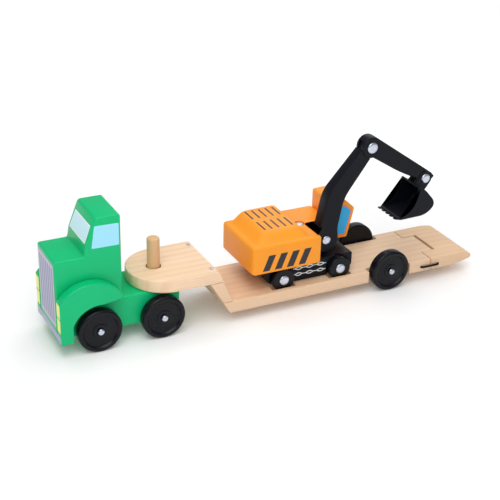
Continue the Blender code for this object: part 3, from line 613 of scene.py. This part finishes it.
deck_low, deck_high = [np.array(c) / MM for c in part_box("deck_board")]
deck_z0, deck_z1 = deck_low[2], deck_high[2]
board_t = deck_z1 - deck_z0
lean_share = 0.6
deck_front = deck_high[0] - AXLE_X / MM - lean_share * board_t
tongue_end = deck_low[0] - AXLE_X / MM
deck_rear = tongue_end + 13.5
riser_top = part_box("riser_board")[1][2] / MM
riser_z0 = deck_z1 + 0.3
riser_foot = 9.9
riser_rear = deck_front + lean_share * board_t - riser_foot
riser_outline = [(riser_rear, riser_z0), (riser_rear + riser_foot, riser_z0),
                 (riser_rear + riser_foot + lean_share * (riser_top - riser_z0), riser_top),
                 (plate_rear - 0.2, riser_top)]
riser = slab("riser_plank", softened(riser_outline, 0.6, 2), "y", -board_w, board_w, 0.7, pine_deck)
for side in (1, -1):
    worked_with(riser, drill("z", 1.3, riser_top - 4, riser_top + 5,
                             (plate_rear + 9.0, side * nail_y, 0), 20))
put(riser, "trailer", "pine", "riser_board")

tongue_half, notch_half, notch_wall = 17.5, 23.5, 27.0
half_plan = [(tongue_end, tongue_half), (deck_rear, tongue_half), (deck_rear, board_w),
             (-notch_half, board_w), (-notch_half, notch_wall), (notch_half, notch_wall),
             (notch_half, board_w)]
deck_plan = ([(x, -y) for x, y in half_plan] + [(deck_front, -board_w), (deck_front, board_w)]
             + half_plan[::-1])
deck_cut = np.array([1.5, 0.3, 1.5, 1.0, 2.5, 2.5, 1.0])
deck_cuts = np.concatenate([deck_cut, [0.6, 0.6], deck_cut[::-1]])


def lean_front(rings):
    """Front end of the deck sloped 0.6 of its thickness: x moves by the height's share of that."""
    share = (rings[..., 2] - deck_z0) / board_t
    rings[..., 0] = rings[..., 0] + np.where(rings[..., 0] > deck_front - 10, lean_share * board_t * share, 0.0)
    return rings


deck = slab("deck_plank", softened(deck_plan, deck_cuts, 4), "z", deck_z0, deck_z1, 0.9, pine_deck,
            lean_front)
worked_with(deck, drill("y", 2.1, -board_w - 5, board_w + 5, (0, 0, wheel_z), 32))
seat_floor = deck_z1 - 4.2
seat_half, seat_inner, seat_outer = 12.8, 20.6, 31.4
for side in (1, -1):
    a, b = sorted((side * seat_inner, side * seat_outer))
    for axle_x in (54.0, 116.0):
        worked_with(deck, block(axle_x - seat_half, axle_x + seat_half, a, b, seat_floor, deck_z1 + 5, 1.5))
    a, b = sorted((side * (board_w - 9), side * (board_w + 5)))
    worked_with(deck, drill("y", 1.4, a, b, (-37.8, 0, 16.7), 20))
put(deck, "trailer", "pine", "deck_board")

for word in ("left", "right"):
    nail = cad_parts[word + "_plate_nail"]
    nail.data.materials.clear()
    nail.data.materials.append(cap_steel)

# ---------------------------------------------------------------------------------------------------
# Tail ramp: a pine flap that tapers to a blunt tip, slotted round the deck's tongue, and its two black
# wire staples, one leg in the deck and one in the ramp's ear, where it turns.

ramp_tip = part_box("rear_ramp")[0][0] / MM - AXLE_X / MM
pivot_x, pivot_z, ear_r = -57.9, 16.7, 8.3
foot_turn = math.degrees(math.asin((deck_z0 - pivot_z) / ear_r))
ramp_ear = arc(pivot_x, pivot_z, ear_r, 0, foot_turn, 8)
ramp_outline = np.concatenate([
    [(pivot_x + ear_r, deck_z1)], ramp_ear,
    softened_chain(ramp_ear[-1], [(ramp_tip + 19, deck_z0), (ramp_tip + 1.0, deck_z0 + 4),
                                  (ramp_tip, deck_z0 + 6.5), (ramp_tip + 2, deck_z1 - 2.2),
                                  (ramp_tip + 13.5, deck_z1)],
                   (pivot_x + ear_r, deck_z1), [6, 1.2, 1.2, 2.0, 6]),
])
ramp = slab("ramp_flap", ramp_outline, "y", -board_w, board_w, 0.9, pine_ramp)
worked_with(ramp, block(tongue_end - 3.0, pivot_x + 20, -17.8, 17.8, deck_z0 - 5, deck_z1 + 5))
for side in (1, -1):
    a, b = sorted((side * (board_w - 9), side * (board_w + 5)))
    worked_with(ramp, drill("y", 1.4, a, b, (pivot_x, 0, pivot_z), 20))
put(ramp, "ramp", "pine", "rear_ramp")


def wire_along(name, path, r, material, segments=16):
    """Round wire carried along a path in the x-y plane: each ring lies across the path's direction,
    p + r (cos a side + sin a up)."""
    p = np.array(path, float)
    d = np.gradient(p, axis=0)
    d /= np.linalg.norm(d, axis=1, keepdims=True)
    across = np.stack([-d[:, 1], d[:, 0], 0 * d[:, 0]], 1)
    a = np.linspace(0, 2 * np.pi, segments, endpoint=False)
    rings = p[:, None] + r * (np.cos(a)[None, :, None] * across[:, None]
                              + np.sin(a)[None, :, None] * np.array([0, 0, 1.0]))
    return closed_mesh(name, rings, material)


wire_black = gloss_black("black_coated_wire", "#101014", 0.34)
wire_r, bend, span = 1.1, 2.0, 20.1
for side, word in ((1, "left"), (-1, "right")):
    y1, y0 = board_w + 0.3 + wire_r, board_w - 8.0
    t = np.linspace(0, np.pi / 2, 7)
    left = np.stack([pivot_x + bend - bend * np.cos(t), y1 - bend + bend * np.sin(t)], 1)
    right = np.stack([pivot_x + span - bend + bend * np.sin(t), y1 - bend + bend * np.cos(t)], 1)
    path = np.concatenate([[(pivot_x, y0)], left, right, [(pivot_x + span, y0)]])
    path = np.concatenate([path * np.array([1, side]), np.full((len(path), 1), pivot_z)], 1)
    put(wire_along(word + "_staple", path, wire_r, wire_black), "trailer", "black_wire", word + "_hinge_wire")

# ---------------------------------------------------------------------------------------------------
# Excavator's undercarriage: a satin black moulded block with arches for its wheels and a chain of
# links printed in white on each side.


def satin_black(name, code, rough):
    """Satin black moulding: near black with fine grain half a millimetre wide and soft broad sheen."""
    made, tree, skin = blank_material(name)
    place = add(tree, "TexCoord").outputs["Object"]
    cloud = add(tree, "TexNoise", {"Vector": place, "Scale": per_mm(7.0), "Detail": 3.0})
    grit = add(tree, "TexNoise", {"Vector": place, "Scale": per_mm(0.8), "Detail": 2.0})
    tone = add(tree, "MixRGB", {0: cloud.outputs["Fac"], 1: linear(code), 2: linear("#12141D")})
    shine = add(tree, "MapRange", {0: cloud.outputs["Fac"], 3: rough - 0.06, 4: rough + 0.1})
    bump = add(tree, "Bump", {"Height": grit.outputs["Fac"], "Strength": 0.12, "Distance": 0.0002})
    tree.links.new(tone.outputs["Color"], skin.inputs["Base Color"])
    tree.links.new(shine.outputs[0], skin.inputs["Roughness"])
    tree.links.new(bump.outputs["Normal"], skin.inputs["Normal"])
    skin.inputs["Specular IOR Level"].default_value = 0.16
    return made


satin = satin_black("satin_black_moulding", "#0C0D14", 0.36)
base_low, base_high = [np.array(c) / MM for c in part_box("undercarriage")]
x0, x1 = base_low[0] - AXLE_X / MM, base_high[0] - AXLE_X / MM
base_z0, base_z1, base_w = base_low[2], base_high[2], base_high[1]
hub_z = 0.5 * (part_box("digger_front_axle")[0][2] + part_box("digger_front_axle")[1][2]) / MM
base_outline = [(x0, 30.5), (x0 + 7, base_z0), (x1 - 7, base_z0), (x1, 30.5), (x1, base_z1), (x0, base_z1)]
base = slab("undercarriage_block", softened(base_outline, 1.2, 3), "y", -base_w, base_w, 0.9, satin)
for axle_x in (54.0, 116.0):
    for side in (1, -1):
        a, b = sorted((side * (base_w - 3.2), side * (base_w + 5)))
        worked_with(base, drill("y", 12.8, a, b, (axle_x, 0, hub_z), 96))
    worked_with(base, drill("y", 1.8, -base_w - 5, base_w + 5, (axle_x, 0, hub_z), 24))
worked_with(base, drill("z", 2.3, base_z1 - 14, base_z1 + 5, (85.5, 0, 0), 24))
put(base, "digger_base", "black_matte", "undercarriage")


def printed_link(x, z, length, height):
    """A link's outline: a pointed oval (l/2 cos t, h/2 sin^3 t) about its middle."""
    t = np.linspace(0, 2 * np.pi, 28, endpoint=False)
    return np.stack([x + 0.5 * length * np.cos(t), z + 0.5 * height * np.sin(t) ** 3], 1)


for side, word in ((1, "left"), (-1, "right")):
    flip = np.array([-side, 1.0])
    for row, z_row in ((1, 37.8), (2, 31.4)):
        bar = np.array([(67.5, z_row - 0.35), (103.5, z_row - 0.35), (103.5, z_row + 0.35),
                        (67.5, z_row + 0.35)]) * flip
        put(patch("%s_chain_bar_%d" % (word, row), bar, (0, side * base_w, 0), (-side, 0, 0), (0, 0, 1),
                  white_ink, 0.04), "digger_base", "black_matte")
        for k in range(3):
            middle = 73.5 + 12.0 * k
            for tag, length, height, ink, proud in (("link", 10.4, 3.6, white_ink, 0.07),
                                                    ("core", 6.6, 2.0, black_ink, 0.10)):
                mark = printed_link(middle, z_row, length, height) * flip
                put(patch("%s_chain_%s_%d_%d" % (word, tag, row, k + 1), mark, (0, side * base_w, 0),
                          (-side, 0, 0), (0, 0, 1), ink, proud), "digger_base", "black_matte")

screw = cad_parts["slew_screw"]
screw.data.materials.clear()
screw.data.materials.append(cap_steel)

# ---------------------------------------------------------------------------------------------------
# Engine body and operator's cab: satin orange. The body has a raised hood that swells out of its top,
# ten printed vents on the hood and four slanted stripes on each side.

orange = sprayed_lacquer("orange_lacquer", "#FFA02C", 0.36)
house_low, house_high = [np.array(c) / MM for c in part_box("engine_body")]
house_front, house_rear = house_low[0] - AXLE_X / MM, house_high[0] - AXLE_X / MM
house_w, house_z0, house_top = house_high[1], house_low[2], 73.0
hump_top = house_high[2]
house_outline = [(house_rear, -house_w), (house_rear, house_w), (79.0, house_w), (79.0, 4.5),
                 (house_front, 4.5), (house_front, -house_w)]
house = slab("engine_hood", softened(house_outline, [5, 5, 2.5, 1.5, 2.5, 4], 6), "z", house_z0, house_top,
             2.8, orange, steps=6)


def swelling(foot, crown, low, high, count=14):
    """A hood between two outlines of equal length: ring k is foot + s (crown - foot) at a height that
    follows the smooth step 3 s^2 - 2 s^3, then it closes over in a flat top."""
    s = np.linspace(0, 1, count)
    rise = low + (high - low) * (3 * s ** 2 - 2 * s ** 3)
    plan = foot[None] + s[:, None, None] * (crown - foot)[None]
    rings = np.concatenate([plan, np.broadcast_to(rise[:, None, None], (count, len(foot), 1))], 2)
    under = rings[:1] - np.array([0, 0, 4.0])
    top = np.concatenate([shrunk(crown, 1.0), np.full((len(crown), 1), high)], 1)[None]
    return closed_mesh("cutter", np.concatenate([under, rings, top]), orange)


hump_foot = softened([(90.2, -32.8), (147.5, -32.8), (147.5, 33.0), (90.2, 33.0)], [4, 8, 8, 4], 6)
hump_crown = softened([(98.8, -30.5), (133.5, -29.5), (133.5, 19.8), (98.8, 19.8)], [3, 6, 6, 3], 6)
worked_with(house, swelling(hump_foot, hump_crown, house_top - 0.3, hump_top), "UNION")
worked_with(house, drill("z", 5.3, house_top - 3.8, house_top + 20, (85.5, 0, 0), 48))
put(house, "digger_house", "orange_paint", "engine_body")

for row, y0 in ((1, -27.0), (2, -1.0)):
    for k in range(5):
        x = 102.2 + 7.3 * k
        shape = [(x - 0.95, y0), (x + 0.95, y0), (x + 0.95, y0 + 18.5), (x - 0.95, y0 + 18.5)]
        put(patch("vent_print_%d_%d" % (row, k + 1), softened(shape, 0.6, 2), (0, 0, hump_top), (1, 0, 0),
                  (0, 1, 0), black_ink, 0.05), "digger_house", "orange_paint")
for side, word in ((1, "left"), (-1, "right")):
    for k in range(4):
        x = 89.9 + 12.7 * k
        stripe = np.array([(x, 63.2), (x + 7.2, 63.2), (x + 13.6, 47.4), (x + 6.4, 47.4)])
        mark = stripe * np.array([-side, 1.0])
        put(patch("%s_stripe_print_%d" % (word, k + 1), mark, (0, side * house_w, 0),
                  (-side, 0, 0), (0, 0, 1),
                  black_ink, 0.05), "digger_house", "orange_paint")

ocab_low, ocab_high = [np.array(c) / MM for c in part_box("operator_cab")]
back_x, ocab_z0, ocab_top = ocab_high[0] - AXLE_X / MM, ocab_low[2], ocab_high[2]
ocab_outline = [(back_x, ocab_z0), (back_x, ocab_top - 0.6), (back_x - 15.3, ocab_top),
                (back_x - 27.2, ocab_top - 10.9), (back_x - 20.1, ocab_z0)]
ocab = slab("operator_cab_block", softened(ocab_outline, [1, 2, 3, 2, 1.5]), "y", ocab_low[1], ocab_high[1],
            1.7, orange)
put(ocab, "digger_house", "orange_paint", "operator_cab")
window = np.array([(38.3, 85.6), (35.6, 85.1), (29.0, 79.0), (35.4, 53.6), (46.5, 53.6), (46.5, 85.6)])
for side, word, y in ((1, "left", ocab_high[1]), (-1, "right", ocab_low[1])):
    rim = softened(window, 1.5) * np.array([-side, 1.0])
    put(patch(word + "_cab_window_rim", rim, (0, y, 0), (-side, 0, 0), (0, 0, 1), orange_ink, 0.05),
        "digger_house", "orange_paint")
    glass = shrunk(softened(window, 1.5), 1.1) * np.array([-side, 1.0])
    put(patch(word + "_cab_window_print", glass, (0, y, 0), (-side, 0, 0), (0, 0, 1), cyan_ink, 0.09),
        "digger_house", "orange_paint")
brow = np.array([back_x - 27.2, 0, ocab_top - 10.9])
chin = np.array([back_x - 20.1, 0, ocab_z0])
mid_y = 0.5 * (ocab_low[1] + ocab_high[1])
front_up = brow - chin
tall = np.linalg.norm(front_up)
pane = [(-15.5, 4.0), (15.5, 4.0), (15.5, tall - 2.5), (-15.5, tall - 2.5)]
put(patch("cab_front_print", softened(pane, 1.5), chin + np.array([0, mid_y, 0]), (0, -1, 0), front_up,
          cyan_ink, 0.06), "digger_house", "orange_paint")

# ---------------------------------------------------------------------------------------------------
# Boom, stick and bucket: satin black mouldings on bright rivets. The boom's head is a tongue between
# the stick's two cheeks; the stick's tip is a tongue between the bucket's two ears.

arm_y0, arm_y1 = [c[1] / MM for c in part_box("boom")]
elbow = (18.9, 147.4)
foot = (64.7, 58.5)
wrist = (-45.6, 105.4)
cheek = 3.2
boom_hub = arc(foot[0], foot[1], 13.5, 175, 390, 40)
boom_outline = np.concatenate([
    softened_chain(boom_hub[-1], [(72.1, 72.1), (64.9, 106.6), (26.9, 149.4), (19.5, 153.0), (12.0, 147.0),
                                  (19.0, 138.0), (46.7, 99.7), (52.2, 69.7)],
                   boom_hub[0], [5, 9, 3, 2, 2, 2, 9, 5], 6),
    boom_hub,
])
boom = slab("boom_arm", boom_outline, "y", arm_y0, arm_y1, 1.1, satin)
worked_with(boom, drill("y", 11.1, arm_y0 - 5, arm_y1 + 5, (elbow[0], 0, elbow[1]), 96))
tongue = np.concatenate([arc(elbow[0], elbow[1], 9.3, 40, 220, 30), [(22.5, 137.0), (30.5, 142.0)]])
worked_with(boom, slab("cutter", tongue, "y", arm_y0 + cheek + 0.3, arm_y1 - cheek - 0.3, 0.4, satin),
            "UNION")
for hole in (foot, elbow):
    worked_with(boom, drill("y", 2.5, arm_y0 - 5, arm_y1 + 5, (hole[0], 0, hole[1]), 24))
put(boom, "boom_arm", "black_matte", "boom")

stick_end = arc(elbow[0], elbow[1], 10.6, -100, 125, 60)
stick_outline = np.concatenate([
    stick_end,
    softened_chain(stick_end[-1], [(-53.6, 109.7), (-58.1, 104.9), (-56.6, 103.1), (-51.2, 100.0),
                                   (-18.3, 114.7)], stick_end[0], [5, 1.6, 1.6, 3, 14]),
])
dipper = slab("stick_arm", stick_outline, "y", arm_y0, arm_y1, 1.1, satin)
slot_shape = np.concatenate([arc(elbow[0], elbow[1], 9.9, 40, 235, 40),
                             [(elbow[0] - 2, 130.0), (45.0, 130.0), (45.0, elbow[1] + 8.0)]])
worked_with(dipper, slab("cutter", slot_shape, "y", arm_y0 + cheek, arm_y1 - cheek, 0.01, satin))
for a, b in ((arm_y0 - 5, arm_y0 + cheek + 0.3), (arm_y1 - cheek - 0.3, arm_y1 + 5)):
    worked_with(dipper, drill("y", 8.6, a, b, (wrist[0], 0, wrist[1]), 64))
    lip = np.array([(-70.0, 112.0), (-53.0, 109.5), wrist, (-41.0, 98.0), (-60.0, 95.0)])
    worked_with(dipper, slab("cutter", lip, "y", a, b, 0.01, satin))
worked_with(dipper, drill("y", 2.3, arm_y0 - 5, arm_y1 + 5, (wrist[0], 0, wrist[1]), 24))
for a, b in ((arm_y0 - 5, arm_y0 + cheek + 1), (arm_y1 - cheek - 1, arm_y1 + 5)):
    worked_with(dipper, drill("y", 2.5, a, b, (elbow[0], 0, elbow[1]), 24))
put(dipper, "stick_arm", "black_matte", "stick")

scoop_y0, scoop_y1 = [c[1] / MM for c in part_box("bucket")]
wall = 2.2
scoop_outline = softened([(-33.3, 101.7), (-31.2, 91.5), (-27.2, 82.0), (-20.0, 75.5), (-9.6, 71.6),
                          (-13.0, 69.8), (-39.0, 70.4), (-46.5, 73.6), (-51.9, 79.4), (-50.7, 85.6),
                          (-40.4, 97.3)], [1, 4, 5, 4, 0.8, 1.5, 4, 4, 4, 4, 2], 5)
scoop = slab("bucket_scoop", scoop_outline, "y", scoop_y0, scoop_y1, 0.7, satin)
hollow = softened([(-38.2, 96.2), (-48.4, 84.6), (-49.3, 80.2), (-45.2, 75.6), (-38.6, 72.7), (-15.5, 72.1),
                   (-4.0, 73.4), (0.0, 90.0), (-20.0, 108.0), (-28.0, 104.0)],
                   [2, 4, 3, 3, 3, 1, 1, 1, 1, 1], 4)
worked_with(scoop, slab("cutter", hollow, "y", scoop_y0 + wall, scoop_y1 - wall, 0.6, satin))
ear = np.concatenate([arc(wrist[0], wrist[1], 7.6, 10, 215, 36),
                      [(-45.5, 92.5), (-42.5, 94.9), (-37.3, 98.0), (-33.6, 101.3)]])
for a, b in ((arm_y0, arm_y0 + cheek), (arm_y1 - cheek, arm_y1)):
    worked_with(scoop, slab("cutter", ear, "y", a, b, 0.3, satin), "UNION")
for k in range(5):
    y = scoop_y0 + 3.0 + k * (scoop_y1 - scoop_y0 - 6.0) / 4
    tooth = np.array([(-12.3, 69.8), (-10.6, 72.2), (-6.6, 72.6), (-6.6, 71.4)])
    worked_with(scoop, slab("cutter", tooth, "y", y - 1.7, y + 1.7, 0.25, satin), "UNION")
worked_with(scoop, drill("y", 2.3, -20, 40, (wrist[0], 0, wrist[1]), 24))
put(scoop, "bucket_scoop", "black_matte", "bucket")


def rivet(node_name, body, head_r, shank_r, both):
    """A rivet where its CAD solid stands: a shank with a domed head h sin a high, r cos a wide, on the
    outer end and, if it goes right through, on the inner end too."""
    low, high = [np.array(c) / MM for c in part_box(node_name)]
    centre = (0.5 * (low[0] + high[0]) - AXLE_X / MM, 0, 0.5 * (low[2] + high[2]))
    h = 1.4
    bow = [(h * math.sin(k), head_r * math.cos(k) ** 0.5) for k in np.linspace(0, 1.5, 12)]
    shape = [(high[1] - h, shank_r)] + [(high[1] - h + t, r) for t, r in bow]
    inner = [(low[1], shank_r)]
    if both:
        inner = [(low[1] + 1.2 - t * 1.2 / h, r) for t, r in bow[::-1]] + [(low[1] + 1.2, shank_r)]
    put(turned(node_name + "_rivet", inner + shape, centre, "y", cap_steel, 48), body, "steel", node_name)


rivet("boom_pin", "digger_house", 4.6, 2.2, False)
rivet("elbow_pin", "boom_arm", 5.5, 2.2, True)
rivet("bucket_pin", "stick_arm", 4.8, 2.0, True)
